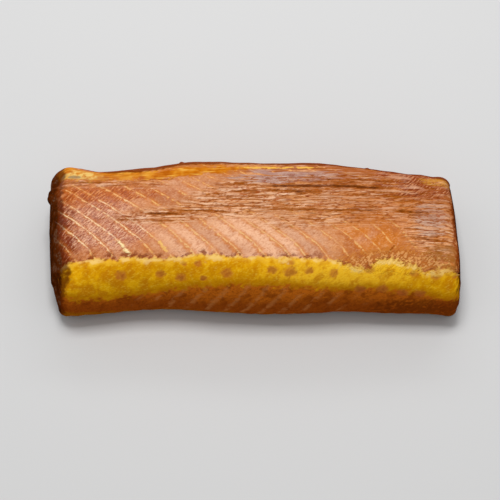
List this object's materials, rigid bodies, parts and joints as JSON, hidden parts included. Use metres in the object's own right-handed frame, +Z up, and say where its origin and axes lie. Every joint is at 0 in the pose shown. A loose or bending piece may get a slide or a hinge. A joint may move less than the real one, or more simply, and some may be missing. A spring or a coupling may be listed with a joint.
{
  "type": "smoked fish loin",
  "caption": "Skinless block of cold-smoked fish loin, amber flesh with pale muscle seams and a yellow fat band along one long edge.",
  "frame": {"origin": "middle of the underside, on the surface the loin lies on", "axes": "+X along the loin towards its squarer right end, +Y away from the fat-seamed flank, +Z up through the thickness"},
  "size_m": [0.25, 0.094, 0.047],
  "materials": {
    "smoked_flesh": "satin"
  },
  "bodies": {
    "root": {"smoked_loin": "smoked_flesh"}
  },
  "joints": []
}
